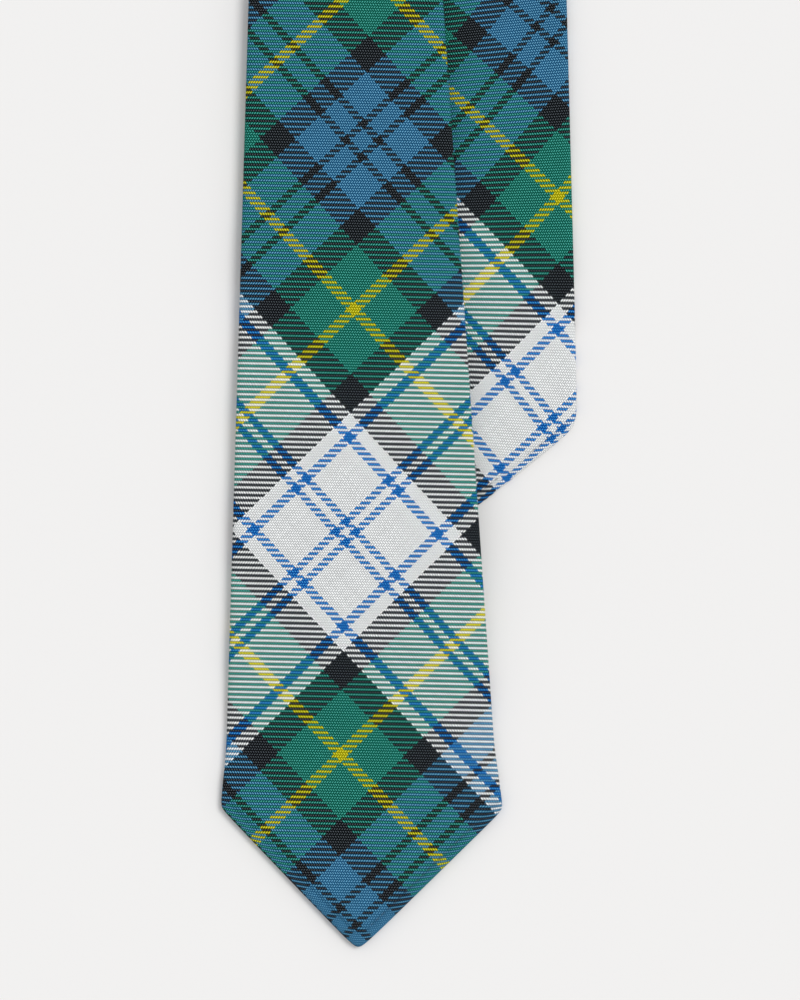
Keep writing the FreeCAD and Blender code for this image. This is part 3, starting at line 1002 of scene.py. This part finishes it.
ROUND_SIDES = 4 * (ROLL_LONG - ROLL)
for cloth, section, start, stop, window, widest, rests in (
        (blade_cloth, blade, 0.5, BLADE_SEAM, BLADE_WINDOW, BLADE_HALF, [tail_cloth]),
        (gusset_blade, blade_gusset, BLADE_SEAM, BLADE_FOLD, None, NECK_HALF, [gusset_neck]),
        (gusset_neck, neck, 0.0, NECK_SPAN, None, NECK_HALF, [gusset_tail]),
        (gusset_tail, tail_gusset, TAIL_SEAM, TAIL_LONG, None, 21.6, ["floor"]),
        (tail_cloth, tail, 0.5, TAIL_SEAM, TAIL_WINDOW, TAIL_HALF, ["floor"])):
    flat = ((4 * widest + ROUND_SIDES) * MM, (stop - start) * MM)
    min(cloth_area(section, start, stop, window) * MM ** 2, flat[0] * flat[1])
    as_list(rests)

canvas_blade, canvas_neck, canvas_tail = canvas
for layer, section, start, stop, inset, widest in (
        (canvas_blade, blade, 5.0, BLADE_FOLD, CANVAS_IN[0], BLADE_HALF),
        (canvas_neck, neck, 0.0, NECK_SPAN, CANVAS_IN[0], NECK_HALF),
        (canvas_tail, tail, 5.0, TAIL_LONG, CANVAS_IN[0], TAIL_HALF),
        (blade_lining, blade, 3.0, 109.0, LINING_IN[0], BLADE_HALF),
        (tail_lining, tail, 3.0, 84.0, LINING_IN[0], TAIL_HALF)):
    flat = (2 * (widest - inset) * MM, (stop - start) * MM)
    min(layer_area(section, start, stop, inset) * MM ** 2, flat[0] * flat[1])


# ---------------------------------------------------------------- floor, light and camera

floor_mesh = bpy.data.meshes.new("floor")
FLOOR_Z = -0.0002  # metres, just clear of the cloth
FLOOR_HALF = 6  # metres
FLOOR_COLOUR = (0.86, 0.844, 0.83, 1)
floor_corners = [(x * FLOOR_HALF, y * FLOOR_HALF, FLOOR_Z) for x, y in ((-1, -1), (1, -1), (1, 1), (-1, 1))]
floor_mesh.from_pydata(floor_corners, [], [(0, 1, 2, 3)])
floor = bpy.data.objects.new("floor", floor_mesh)
bpy.context.scene.collection.objects.link(floor)
g = Graph("floor")
g.bump(g.noise(g.place(), 900.0), 0.02, 0.0005)
floor_mesh.materials.append(g.finish(FLOOR_COLOUR, 0.95, Specular_IOR_Level=0.1))

LIGHT_FROM, LIGHT_ABOVE = 30.0, 58.0  # degrees from the row's X axis, and above the floor
KEY_STRENGTH, KEY_SPREAD = 1.3, math.radians(28)
FILL_STRENGTH, FILL_COLOUR = 0.70, (0.97, 0.985, 1.0, 1)
key = bpy.data.objects.new("key", bpy.data.lights.new("key", "SUN"))
key.data.energy = KEY_STRENGTH
key.data.angle = KEY_SPREAD
round_, up = math.radians(LIGHT_FROM), math.radians(LIGHT_ABOVE)
toward = Vector((math.cos(round_) * math.cos(up), math.sin(round_) * math.cos(up), math.sin(up)))
key.rotation_euler = (-toward).to_track_quat("-Z", "Y").to_euler()
bpy.context.scene.collection.objects.link(key)

world = bpy.data.worlds.new("studio")
world.use_nodes = True
world.node_tree.nodes["Background"].inputs["Color"].default_value = FILL_COLOUR
world.node_tree.nodes["Background"].inputs["Strength"].default_value = FILL_STRENGTH
bpy.context.scene.world = world
bpy.context.scene.view_settings.view_transform = "Standard"

LENS, CAMERA_UP, PICTURE_TURN = 372.0, 3000.0, math.radians(1.108)
PICTURE_MIDDLE = np.array([12.94, 129.4, CAMERA_UP])  # from the blade's point
camera = bpy.data.objects.new("camera", bpy.data.cameras.new("camera"))
camera.data.lens = LENS
camera.data.sensor_width = 36.0
camera.data.clip_end = 20.0
camera.location = Vector((PICTURE_MIDDLE + ORIGIN) * MM)
camera.rotation_euler = (0, 0, -PICTURE_TURN)
bpy.context.scene.collection.objects.link(camera)
bpy.context.scene.camera = camera
